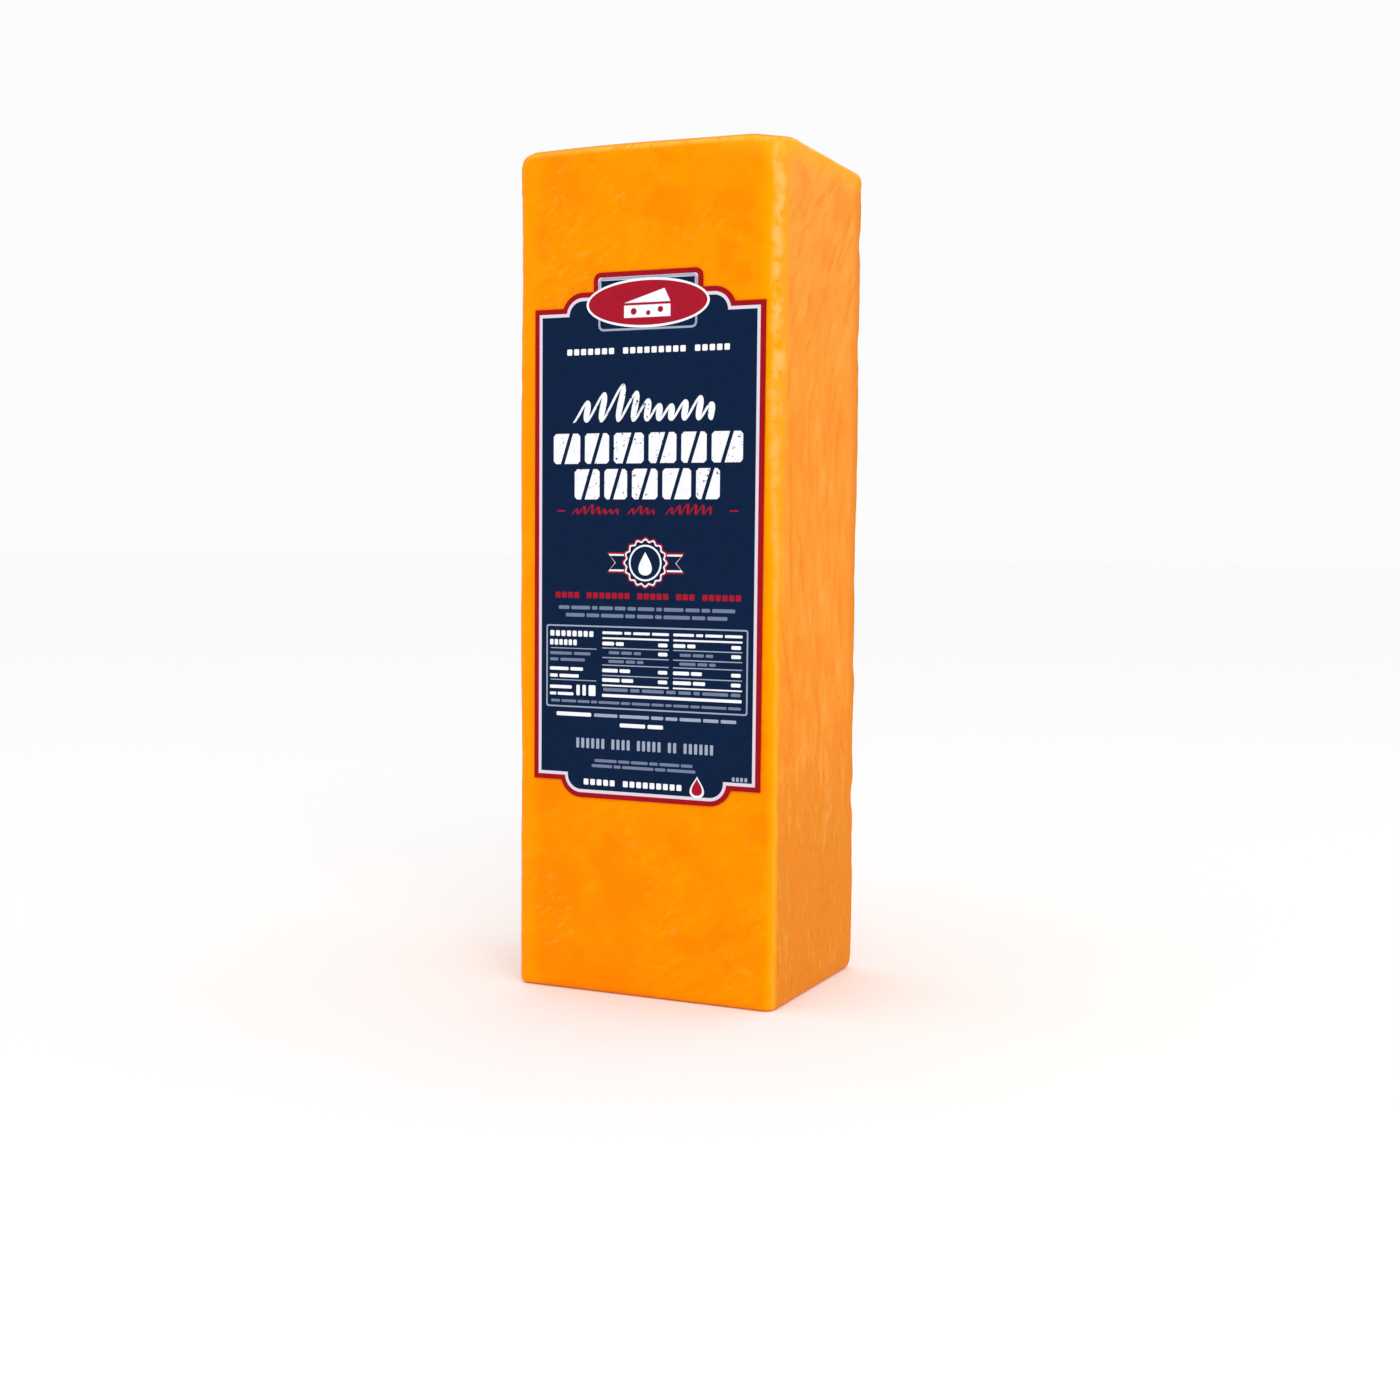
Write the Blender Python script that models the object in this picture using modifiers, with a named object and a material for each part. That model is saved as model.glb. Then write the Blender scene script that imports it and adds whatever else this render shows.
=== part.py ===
"""A loaf of cheddar that stands on one end, with its printed label on the broad front face.

Metres, +Z up. The origin is the middle of the base, the labelled face looks along -Y, and the cut
sides with the long furrows look along +X and -X.
"""

from math import asin, cos, pi, radians, sin

import bmesh
import bpy
from mathutils import Vector, noise

# The loaf.
WIDTH = 0.096
DEPTH = 0.077
HEIGHT = 0.283

# Radii of its twelve edges. The left one of the top is the softest, the right one is crisper.
NEAR_EDGE_RADIUS = 0.0050
PRESSED_EDGE_RADIUS = 0.0044
CUT_EDGE_RADIUS = 0.0030
LEFT_TOP_RADIUS = 0.0056
BASE_EDGE_RADIUS = 0.0026
LARGEST_RADIUS = LEFT_TOP_RADIUS
EDGE_SEGMENTS = 3

# The size of the mesh's cells across and along the loaf.
CELL_ACROSS = 0.0078
CELL_ALONG = 0.0058

# Slow swells over every face, and shallow furrows that run up the cut sides.
SWELL_DEPTH = 0.0005
SWELL_LENGTH = 0.055
FURROW_DEPTH = 0.0005
FURROW_WIDTH = 0.011
FURROW_STRETCH = 6.0
SWELL_PLACE = Vector((3.7, 1.3, 8.1))
FURROW_PLACE = Vector((11.9, 5.2, 2.6))

# The top is faintly crowned: by its left and right edges it has fallen by this much.
TOP_CROWN = 0.00045
# The near top corner is knocked down by this depth, which fades out over this distance.
CORNER_DEPTH = 0.0018
CORNER_REACH = 0.0140

# Relief dies away over this height above the base, which stays flat.
BASE_CALM = 0.006
# Relief dies away over this distance from the label, which lies flat.
LABEL_CALM = 0.008

# Dents in the far edge of the right side: height up the loaf, depth, and half length.
FAR_DENTS = (
    (0.2575, 0.0006, 0.0080),
    (0.2240, 0.0005, 0.0100),
    (0.1105, 0.0005, 0.0070),
    (0.0840, 0.0006, 0.0200),
    (0.0635, 0.0014, 0.0080),
)

# Knocks along the near edge come at about this spacing, each a little off its place.
KNOCK_SPACING = 0.0170
KNOCK_DEPTH = 0.0009
KNOCK_LENGTH = 0.0065
# How far from an edge its dents and knocks reach.
EDGE_REACH = 0.0075

# The label, and the gap that keeps it clear of the cheese behind it.
LABEL_WIDTH = 0.0834
LABEL_CENTRE = 0.0010
LABEL_SHOULDER = 0.2300
LABEL_BODY = 0.1576
LABEL_THICKNESS = 0.0003
LABEL_GAP = 0.0003
# Its stepped head and foot: a crest over a wider step, which ends in a round at each side.
CREST_HALF_WIDTH = 0.0197
CREST_RISE = 0.0112
CREST_RADIUS = 0.0026
STEP_RISE = 0.0050
FOOT_DROP = 0.0056
ROUND_RADIUS = 0.0077
ROUND_CENTRE = 0.0238
ARC_STEPS = 6

CHEESE_ORANGE = (1.0, 0.314, 0.003)
LABEL_NAVY = (0.004, 0.015, 0.050)


def smooth_step(value):
    """Zero below 0, one above 1, and an even ease between."""
    value = min(max(value, 0.0), 1.0)
    return value * value * (3.0 - 2.0 * value)


def cheese_material():
    """Pressed cheddar: orange and slightly waxy."""
    material = bpy.data.materials.new("cheddar")
    material.use_nodes = True
    shader = material.node_tree.nodes["Principled BSDF"]
    shader.inputs["Base Color"].default_value = (*CHEESE_ORANGE, 1.0)
    shader.inputs["Roughness"].default_value = 0.45
    shader.inputs["Metallic"].default_value = 0.0
    return material


def label_material():
    """Coated label paper under a flat field of dark ink."""
    material = bpy.data.materials.new("label_paper")
    material.use_nodes = True
    shader = material.node_tree.nodes["Principled BSDF"]
    shader.inputs["Base Color"].default_value = (*LABEL_NAVY, 1.0)
    shader.inputs["Roughness"].default_value = 0.35
    shader.inputs["Metallic"].default_value = 0.0
    return material


def cut_into_cells(form):
    """Cuts the box into near square cells, so that its faces can swell and dip."""
    for axis, size, cell in ((0, WIDTH, CELL_ACROSS), (1, DEPTH, CELL_ACROSS), (2, HEIGHT, CELL_ALONG)):
        count = round(size / cell)
        low = 0.0 if axis == 2 else -size / 2
        normal = Vector([float(i == axis) for i in range(3)])
        for step in range(1, count):
            bmesh.ops.bisect_plane(
                form,
                geom=form.verts[:] + form.edges[:] + form.faces[:],
                plane_co=normal * (low + size * step / count),
                plane_no=normal,
            )


def edge_radius(middle):
    """The radius of the loaf's edge that holds this point."""
    right, front = middle.x > 0, middle.y < 0
    on_side = abs(abs(middle.x) - WIDTH / 2) < 1e-6
    on_face = abs(abs(middle.y) - DEPTH / 2) < 1e-6
    if on_side and on_face:
        return NEAR_EDGE_RADIUS if right and front else PRESSED_EDGE_RADIUS
    if middle.z < HEIGHT / 2:
        return BASE_EDGE_RADIUS
    if on_face:
        return PRESSED_EDGE_RADIUS
    return CUT_EDGE_RADIUS if right else LEFT_TOP_RADIUS


def weigh_edges(form):
    """Marks the box's twelve edges with their radii, as shares of the largest."""
    weight = form.edges.layers.float.new("bevel_weight_edge")
    for edge in form.edges:
        if edge.calc_face_angle(0.0) > radians(45):
            middle = (edge.verts[0].co + edge.verts[1].co) / 2
            edge[weight] = edge_radius(middle) / LARGEST_RADIUS


def label_distance(point):
    """How far a point of the front face lies outside the label's rectangle."""
    across = abs(point.x - LABEL_CENTRE) - LABEL_WIDTH / 2
    above = point.z - (LABEL_SHOULDER + CREST_RISE)
    below = (LABEL_SHOULDER - LABEL_BODY - FOOT_DROP) - point.z
    return max(across, above, below)


def relief(point, normal):
    """How far the skin stands proud of the true form: swells, furrows up the cut sides, the crown."""
    swell = SWELL_DEPTH * noise.noise(point / SWELL_LENGTH + SWELL_PLACE)
    along = Vector((point.x, point.y, point.z / FURROW_STRETCH))
    furrow = FURROW_DEPTH * noise.noise(along / FURROW_WIDTH + FURROW_PLACE)
    height = swell + furrow * max(abs(normal.x) - 0.5, 0.0) * 2.0
    if normal.y < -0.5:
        height *= smooth_step(label_distance(point) / LABEL_CALM)
    height -= TOP_CROWN * (2.0 * point.x / WIDTH) ** 2 * max(normal.z, 0.0)
    return height * smooth_step(point.z / BASE_CALM)


def knocks():
    """Heights and depths of the knocks up the near edge, uneven in both."""
    count = int(HEIGHT / KNOCK_SPACING)
    for step in range(1, count):
        drift = noise.noise(Vector((step * 1.7, 4.1, 0.3)))
        height = (step + 0.45 * drift) * KNOCK_SPACING
        depth = KNOCK_DEPTH * (0.65 + 0.7 * noise.noise(Vector((step * 2.3, 0.7, 9.2))))
        yield height, depth


def dent(point, corner, height, depth, half_length):
    """The depth of one dent at a point, for an edge that stands at the given corner."""
    beside = (Vector((point.x, point.y)) - corner).length / EDGE_REACH
    beyond = abs(point.z - height) / half_length
    return depth * smooth_step(1.0 - beside) * smooth_step(1.0 - beyond)


def dents(point):
    """The dents of the near and the far edge of the right side and the knocked corner, added up."""
    near = Vector((WIDTH / 2, -DEPTH / 2))
    far = Vector((WIDTH / 2, DEPTH / 2))
    away = (point - Vector((WIDTH / 2, -DEPTH / 2, HEIGHT))).length
    total = CORNER_DEPTH * smooth_step(1.0 - away / CORNER_REACH)
    for height, depth in knocks():
        total += dent(point, near, height, depth, KNOCK_LENGTH)
    for height, depth, half_length in FAR_DENTS:
        total += dent(point, far, height, depth, half_length)
    return total


def wear(form):
    """Moves the rounded box's skin by its relief and its dents, along the skin's own normals."""
    form.normal_update()
    moves = []
    for vertex in form.verts:
        height = relief(vertex.co, vertex.normal) - dents(vertex.co)
        moves.append(vertex.normal * height)
    for vertex, move in zip(form.verts, moves):
        if vertex.co.z > 1e-6:
            vertex.co += move


def make_block(collection):
    """The cheese itself: a box with rounded edges, then its swells, furrows and dents."""
    bpy.ops.mesh.primitive_cube_add(size=1.0, location=(0.0, 0.0, HEIGHT / 2))
    block = bpy.context.object
    block.name = block.data.name = "cheese_block"
    block.scale = (WIDTH, DEPTH, HEIGHT)
    bpy.ops.object.transform_apply(location=True, rotation=False, scale=True)

    form = bmesh.new()
    form.from_mesh(block.data)
    cut_into_cells(form)
    weigh_edges(form)
    form.to_mesh(block.data)
    form.free()

    bevel = block.modifiers.new("rounded_edges", "BEVEL")
    bevel.limit_method = "WEIGHT"
    bevel.width = LARGEST_RADIUS
    bevel.segments = EDGE_SEGMENTS
    bpy.ops.object.modifier_apply(modifier=bevel.name)

    form = bmesh.new()
    form.from_mesh(block.data)
    wear(form)
    form.to_mesh(block.data)
    form.free()

    block.data.shade_smooth()
    block.data.materials.append(cheese_material())
    move_to(block, collection)


def arc(centre, radius, start, stop):
    """Points along a round stretch of an outline, from one angle to the other."""
    for step in range(ARC_STEPS + 1):
        angle = start + (stop - start) * step / ARC_STEPS
        yield centre[0] + radius * cos(angle), centre[1] + radius * sin(angle)


def label_right_side():
    """The right half of the label's outline, from head to foot, with its shoulder at height 0."""
    half = LABEL_WIDTH / 2
    corner = (CREST_HALF_WIDTH - CREST_RADIUS, CREST_RISE - CREST_RADIUS)
    yield from arc(corner, CREST_RADIUS, pi / 2, 0.0)
    yield CREST_HALF_WIDTH, STEP_RISE
    head = STEP_RISE - ROUND_RADIUS
    yield from arc((ROUND_CENTRE, head), ROUND_RADIUS, pi / 2, asin(-head / ROUND_RADIUS))
    yield half, 0.0
    yield half, -LABEL_BODY
    foot = ROUND_RADIUS - FOOT_DROP
    place = (ROUND_CENTRE, foot - LABEL_BODY)
    yield from arc(place, ROUND_RADIUS, -asin(foot / ROUND_RADIUS), -pi / 2)


def label_outline():
    """The whole outline, with the left half as the mirror image of the right one."""
    right = list(label_right_side())
    left = [(-x, z) for x, z in reversed(right)]
    return right + left


def make_label(collection):
    """The label: a flat outline with a stepped head and foot, given the thickness of its paper."""
    curve = bpy.data.curves.new("label", "CURVE")
    curve.dimensions = "2D"
    curve.fill_mode = "BOTH"
    curve.extrude = LABEL_THICKNESS / 2
    points = label_outline()
    line = curve.splines.new("POLY")
    line.points.add(len(points) - 1)
    for point, (x, z) in zip(line.points, points):
        point.co = (x, z, 0.0, 1.0)
    line.use_cyclic_u = True

    label = bpy.data.objects.new("label", curve)
    label.rotation_euler = (radians(90), 0.0, 0.0)
    front = -(DEPTH / 2 + LABEL_GAP + LABEL_THICKNESS / 2)
    label.location = (LABEL_CENTRE, front, LABEL_SHOULDER)
    curve.materials.append(label_material())
    collection.objects.link(label)


def move_to(thing, collection):
    """Takes an object out of the collections it was made in and puts it in this one."""
    for old in thing.users_collection:
        old.objects.unlink(thing)
    collection.objects.link(thing)


def main():
    for old in list(bpy.data.objects):
        bpy.data.objects.remove(old, do_unlink=True)
    collection = bpy.data.collections.new("cheddar_loaf")
    bpy.context.scene.collection.children.link(collection)
    make_block(collection)
    make_label(collection)


if __name__ == "__main__":
    main()
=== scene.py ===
"""A loaf of cheddar with its printed label, modelled and lit. Run as a script inside Blender."""

from math import asin, cos, pi, radians, sin, tau

import bmesh
import bpy
from mathutils import Matrix, Vector, noise


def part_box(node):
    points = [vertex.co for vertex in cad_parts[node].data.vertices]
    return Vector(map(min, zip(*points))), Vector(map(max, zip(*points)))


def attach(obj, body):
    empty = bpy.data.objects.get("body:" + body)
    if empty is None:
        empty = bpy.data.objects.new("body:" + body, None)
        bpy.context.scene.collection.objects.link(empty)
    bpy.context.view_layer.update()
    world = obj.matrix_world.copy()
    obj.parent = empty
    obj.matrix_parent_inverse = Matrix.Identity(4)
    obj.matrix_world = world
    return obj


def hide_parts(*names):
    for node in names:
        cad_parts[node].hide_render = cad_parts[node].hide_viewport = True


bl_info = {
    "name": "Cheddar Loaf",
    "version": (1, 0, 0),
    "blender": (4, 5, 0),
    "location": "View3D > Sidebar > Cheddar",
    "description": "Models a loaf of cheddar, its printed label and a plain studio around them",
    "category": "Object",
}

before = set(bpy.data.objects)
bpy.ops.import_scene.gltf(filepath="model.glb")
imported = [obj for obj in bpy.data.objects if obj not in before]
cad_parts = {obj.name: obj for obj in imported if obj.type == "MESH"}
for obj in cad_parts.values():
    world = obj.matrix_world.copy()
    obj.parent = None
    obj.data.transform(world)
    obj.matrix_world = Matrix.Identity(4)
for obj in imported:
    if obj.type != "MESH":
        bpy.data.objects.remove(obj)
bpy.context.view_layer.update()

MM = 0.001

# The loaf's true form, before its relief.
WIDTH = 0.096
DEPTH = 0.077
HEIGHT = 0.283
BASE_EDGE_RADIUS = 0.0026
PRESSED_EDGE_RADIUS = 0.0044
CUT_EDGE_RADIUS = 0.0030
LEFT_TOP_RADIUS = 0.0056
LARGEST_RADIUS = LEFT_TOP_RADIUS

# Slow swells over every face, and the broad furrows of the two cut sides.
SWELL_DEPTH = 0.0005
SWELL_LENGTH = 0.055
FURROW_DEPTH = 0.0005
FURROW_WIDTH = 0.011
FURROW_STRETCH = 6.0
# The top falls a little towards the cut sides, and its near right corner is worn down.
TOP_CROWN = 0.00045
CORNER_DEPTH = 0.0018
CORNER_REACH = 0.0140
# The relief eases in over these distances from the floor and from the label.
BASE_CALM = 0.006
LABEL_CALM = 0.008

# Where each relief is read in the noise, so that no two are alike.
SWELL_PLACE = Vector((3.7, 1.3, 8.1))
FURROW_PLACE = Vector((11.9, 5.2, 2.6))
STRAND_PLACE = Vector((4.4, 7.1, 1.9))
FINE_PLACE = Vector((0.3, 2.7, 6.1))
CHIP_PLACE = Vector((8.8, 3.3, 5.5))
CRUMB_PLACE = Vector((1.1, 9.4, 2.0))

# Dents in the far edge of the right side: height up the loaf, depth, and half length.
FAR_DENTS = (
    (0.2575, 0.0006, 0.0080),
    (0.2240, 0.0005, 0.0100),
    (0.1105, 0.0005, 0.0070),
    (0.0840, 0.0006, 0.0200),
    (0.0635, 0.0014, 0.0080),
)
# Knocks up the near edge: about how far apart they are, how deep, and half their length.
KNOCK_SPACING = 0.0170
KNOCK_DEPTH = 0.0009
KNOCK_LENGTH = 0.0065
# How far from an upright edge its wear reaches.
EDGE_REACH = 0.0075

# On the cut sides the curd lies along the loaf, and leans over towards the top.
LEAN_START = 0.185
LEAN_CURVE = 7.0
# How much longer than wide a strand is, how fast it shortens above that height,
# and how far and how often it waves aside.
STRAND_STRETCH = 3.8
SHORTENING = 4.5
WAVE_REACH = 0.0014
WAVE_LENGTH = 0.012
# Finer strands run among them, this share as wide, and are the stronger low on the loaf.
FINE_STRAND = 0.42
FINE_BELOW = 0.120

# The few deeper scars on the right side: half width, then points as (y, z).
SCARS = (
    (0.0014, ((-0.0301, 0.1893), (-0.0282, 0.1606), (-0.0263, 0.1346))),
    (0.0012, ((-0.0350, 0.1316), (-0.0310, 0.1185), (-0.0270, 0.1052))),
    (0.0012, ((-0.0215, 0.1560), (-0.0189, 0.1525), (-0.0168, 0.1380))),
)
# How much deeper than a strand of curd they are.
SCAR_DEPTH = 1.6
# Chips up the near edge: the length of a lobe, how many times as broad it is, the size of the
# crumbs on it as a share of its length, and how far each side of a lobe's rim a crack reaches, as
# a level of the noise.
CHIP_LENGTH = 0.0075
CHIP_BREADTH = 2.0
CRUMB_SHARE = 0.4
CRACK_WIDTH = 0.09

# The label's place on the front face, and its stepped outline.
LABEL_WIDTH = 0.0834
LABEL_CENTRE = 0.0010
LABEL_SHOULDER = 0.2300
LABEL_BODY = 0.1576
CREST_HALF_WIDTH = 0.0197
CREST_RISE = 0.0112
CREST_RADIUS = 0.0026
STEP_RISE = 0.0050
FOOT_DROP = 0.0056
ROUND_RADIUS = 0.0077
ROUND_CENTRE = 0.0238
# How far the paper reaches into the cheese, and how much thicker than its layer an ink is.
PAPER_SEAT = 0.05 * MM
INK_SEAT = 1.6

# Print, in millimetres: the least radius of a corner of the label, the corners of small blocks,
# the least straight stretch of a box, and the two columns of the table.
LEAST_CORNER = 0.3
BLOCK_CORNER = 0.3
LEAST_STRAIGHT = 0.02
TABLE_COLUMNS = ((-15.8, 8.8), (10.4, 35.1))
# How much a brush lingers at the ends of a stroke.
BRUSH_EASE = 0.09

# Smears on the pressed faces: their rise in degrees, and how much longer than wide they are.
SMEAR_RISE = 30.0
SMEAR_STRETCH = 2.8

# The noise of each pattern on the cheese. One over its scale is the width of its features.
BLOTCHES = {"Scale": 1.0 / (16.0 * MM), "Detail": 4.0, "Roughness": 0.55}
SCUFFED_PATCHES = {"Scale": 1.0 / (26.0 * MM), "Detail": 2.0, "Roughness": 0.5}
SMEARS = {"Scale": 1.0 / (3.0 * MM), "Detail": 4.0, "Roughness": 0.65}
SCUFFS = {"Scale": 1.0 / (1.5 * MM), "Detail": 3.0, "Roughness": 0.7}
CLOUDS = {"Scale": 1.0 / (19.0 * MM), "Detail": 3.0, "Roughness": 0.5}
WANDERING = {"Scale": 1.0 / (8.3 * MM), "Detail": 5.0, "Roughness": 0.6}
CRUMBS = {"Scale": 1.0 / (3.0 * MM), "Detail": 4.0, "Roughness": 0.6, "Distortion": 0.8}
# Fibres of curd, as a share of a strand's width.
FIBRE = 0.28
# The edges' crumbs are longer than wide, and the edges wander slowly across the loaf.
CRUMB_SCALE = (1.0, 1.0, 0.42)
WANDER_SCALE = (0.3, 0.3, 1.0)
# The tooth of paper and the mottle of ink are under 0.1 mm wide, and so are the pinholes in a worn
# film. They are drawn as coarse as they need to show.
TOOTH = {"Scale": 1.0 / (0.6 * MM), "Detail": 3.0}
PAPER_CLOUDS = {"Scale": 1.0 / (11.0 * MM), "Detail": 2.0}
MOTTLE = {"Scale": 1.0 / (2.4 * MM), "Detail": 4.0, "Roughness": 0.6}
WORN_PATCHES = {"Scale": 1.0 / (6.2 * MM), "Detail": 2.0}
PINHOLES = {"Scale": 1.0 / (1.05 * MM), "Detail": 3.0, "Roughness": 0.6}
# The roller's grain on a painted board.
ROLLER_GRAIN = {"Scale": 1.0 / (3.8 * MM), "Detail": 3.0}

# The studio: the floor's width, and the place, the target and the width of the soft light.
FLOOR_SIZE = 40.0
KEY_PLACE = (0.75, -0.95, 0.95)
KEY_AIM = Vector((0.0, 0.0, 0.14))
KEY_SIZE = 0.8

# What shader nodes share: a mix of two colours, and a ramp with soft ends.
COLOURS = {"data_type": "RGBA", "result": 2}
EASED = {"interpolation_type": "SMOOTHSTEP"}


def linear(code):
    """An sRGB hex colour as the linear values that a shader takes."""
    values = [int(code[i : i + 2], 16) / 255 for i in (1, 3, 5)]
    return tuple(v / 12.92 if v <= 0.04045 else ((v + 0.055) / 1.055) ** 2.4 for v in values)


def colour(name, description, code):
    """A colour that a user may change, given as sRGB hex."""
    kept = {"subtype": "COLOR", "size": 3, "min": 0.0, "max": 1.0, "default": linear(code)}
    return bpy.props.FloatVectorProperty(name=name, description=description, **kept)


def number(name, description, default, **kept):
    """A number that a user may change."""
    return bpy.props.FloatProperty(name=name, description=description, default=default, **kept)


def length(name, description, default):
    """A size that a user may change, in metres."""
    return number(name, description, default, min=0.0, unit="LENGTH", subtype="DISTANCE")


class LoafSettings(bpy.types.PropertyGroup):
    """Sizes and colours of the cheese."""

    near_radius: length("Near edge", "Radius of the edge beside the label", 0.0050)
    cell_across: length("Cell across", "Width of a cell of the mesh on the cut sides", 0.00075)
    cell_front: length("Cell on the front", "Width of a cell on the pressed faces", 0.0024)
    curd_width: length("Curd width", "Width of one strand of curd on the cut sides", 0.0032)
    curd_depth: length("Curd depth", "How far the strands of curd stand out", 0.00017)
    chip_depth: length("Chip depth", "Depth of the small chips along the near edge", 0.00050)
    pressed: colour("Pressed face", "Deep orange of the smooth pressed faces", "#FD8D00")
    # Blotches and smears, and painted shade towards the base.
    pressed_deep_and_shade: colour("Pressed face, deep", "Blotches of the pressed faces", "#FB8500")
    # Smears, and painted light towards the right.
    pressed_smear_and_lit: colour("Pressed face, light", "Smears of the pressed faces", "#FE9801")
    scuff: colour("Scuff", "Pale scuffs on the pressed faces", "#FDA336")
    cut: colour("Cut side", "Paler orange of the cut sides", "#FC962B")
    # Painted light: paler towards the top of the cut sides; also the paler raised strands of curd.
    cut_pale_and_lit: colour("Cut side, pale", "Raised strands of curd", "#FEAA4A")
    # Deeper clouds, and painted shade in the furrows between the strands and in the scars.
    cut_deep_and_shade: colour("Cut side, deep", "Furrows between the strands", "#F2851F")
    # Painted shade: a browner tone low on the cut sides, where less light reaches.
    cut_low_shade: colour("Cut side, low", "Browner tone low on the cut sides", "#E88A1F")
    cut_fibre: colour("Fibres", "Fine broken fibres, darkest towards the base", "#D5761A")
    # Painted light: a yellower tone where the near edge's rounding and the front's left margin
    # catch more light.
    ramp: colour("Edge ramp", "Yellow tone that leads to the near edge", "#FD9F00")
    # Painted highlight: the pale tone up the near edge, over cheese that is worn pale there.
    rubbed_and_highlit: colour("Rubbed edge", "Pale cheese where the near edge is rubbed", "#FEB85C")
    # Painted light on the rounding's flank beside the near edge's highlight.
    band: colour("Edge band", "Yellow band beside the rubbed edge", "#FB9F26")
    # Painted shade: a deeper strip where the far edges turn from the light.
    far_edge_shade: colour("Far edge", "Deep smooth strip along the far edges", "#EB8821")
    # Painted shadow: a browner line on the far edge itself.
    far_shadow_line: colour("Far line", "Browner line on the far edge itself", "#DD8121")
    cap: colour("Cap", "Yellow tone under the top, towards the right", "#FDB01C")
    # Painted highlight: a broken pale streak under the top's rounded edges.
    top_edge_highlight: colour("Top streak", "Pale streak under the top's rounded edges", "#FCB83A")
    top_line: colour("Top line", "Ochre line where the sides turn into the top", "#EA9A1A")
    gloss: colour("Gloss", "Warm tint of the skin's faint gloss", "#FFB040")


class LabelSettings(bpy.types.PropertyGroup):
    """Sizes and inks of the label."""

    rim: length("Rim", "Width of the red rim", 0.00165)
    line: length("Line", "Width of the bare paper line inside the rim", 0.0011)
    layer: length("Layer", "Height of one layer of ink, drawn thicker than it is", 0.00003)
    paper: colour("Paper", "Coated white paper", "#DCD6E2")
    field: colour("Field", "Dark blue field", "#0B1F3D")
    red: colour("Red", "Dark red of the rim", "#9C101D")
    emblem: colour("Emblem red", "Brighter red of the emblem", "#A2172B")
    white: colour("White ink", "White shapes", "#EDEEF3")
    grey: colour("Grey ink", "Fine grey lines and thin lettering", "#9AA4B8")
    faint: colour("Faint ink", "The smallest lettering's mean tone", "#6F7B95")


class StudioSettings(bpy.types.PropertyGroup):
    """The camera, the lights and the floor."""

    camera_place: bpy.props.FloatVectorProperty(
        name="Camera place",
        description="Where the camera stands",
        size=3,
        subtype="TRANSLATION",
        unit="LENGTH",
        default=(0.26793, -0.58540, 0.15179),
    )
    camera_turn: number("Camera turn", "Turn to the left", radians(24.3045), subtype="ANGLE")
    camera_dip: number("Camera dip", "Tilt downwards", radians(4.7804), subtype="ANGLE")
    camera_roll: number("Camera roll", "Roll about the view", radians(0.5627), subtype="ANGLE")
    lens: number("Lens", "Focal length on a 36 mm frame", 47.27, subtype="DISTANCE_CAMERA")
    sky: number("Surround", "Strength of the even white surround", 0.97, min=0.0)
    key: number("Key light", "Power of the large soft light", 3.6, min=0.0, subtype="POWER")
    floor: colour("Floor", "Pale matt floor", "#FEFEFE")


def add(tree, kind, feeds, result=0, **settings):
    """Adds one shader node, feeds its inputs with sockets or values, and gives back one output."""
    node = tree.nodes.new("ShaderNode" + kind)
    for name, value in settings.items():
        setattr(node, name, value)
    for key, value in feeds.items():
        if isinstance(value, bpy.types.NodeSocket):
            tree.links.new(value, node.inputs[key])
        else:
            node.inputs[key].default_value = value
    return node.outputs[result]


def new_material(name):
    """An empty material with its node tree, its shader and its place in the object's own space."""
    material = bpy.data.materials.new(name)
    material.use_nodes = True
    tree = material.node_tree
    return material, tree, tree.nodes["Principled BSDF"], add(tree, "TexCoord", {}, result=3)


def opaque(rgb):
    """A colour with full alpha, as a colour socket takes it."""
    return (*rgb, 1.0)


def lay_over(tree, skin, layers):
    """Lays colours over the skin in turn. Each has its colour, its greatest share and its gates.

    A gate is a value, the level at which it is shut, and the level at which it is wide open. The
    colour shows only where all of its gates are open.
    """
    for rgb, share, *gates in layers:
        for value, shut, wide in gates:
            share = add(tree, "MapRange", {0: value, 1: shut, 2: wide, 4: share}, **EASED)
        skin = add(tree, "Mix", {0: share, 6: skin, 7: opaque(rgb)}, **COLOURS)
    return skin


def smooth_step(value):
    """Zero below 0, one above 1, and an even ease between."""
    value = min(max(value, 0.0), 1.0)
    return value * value * (3.0 - 2.0 * value)


def begin():
    """Leaves nothing selected, so that the next operator acts on the new piece alone."""
    bpy.ops.object.select_all(action="DESELECT")


def finish_piece(piece, slot, *nodes):
    """Ties a finished piece to the frame."""
    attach(piece, "root")
    if nodes:
        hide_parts(*nodes)


# The cheese.


def edge_radius(middle, near_radius):
    """The radius of the loaf's edge that holds this point."""
    right, front = middle.x > 0, middle.y < 0
    on_side = abs(abs(middle.x) - WIDTH / 2) < 1e-6
    on_face = abs(abs(middle.y) - DEPTH / 2) < 1e-6
    if on_side and on_face:
        return near_radius if right and front else PRESSED_EDGE_RADIUS
    if middle.z < HEIGHT / 2:
        return BASE_EDGE_RADIUS
    if on_face:
        return PRESSED_EDGE_RADIUS
    return CUT_EDGE_RADIUS if right else LEFT_TOP_RADIUS


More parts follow.
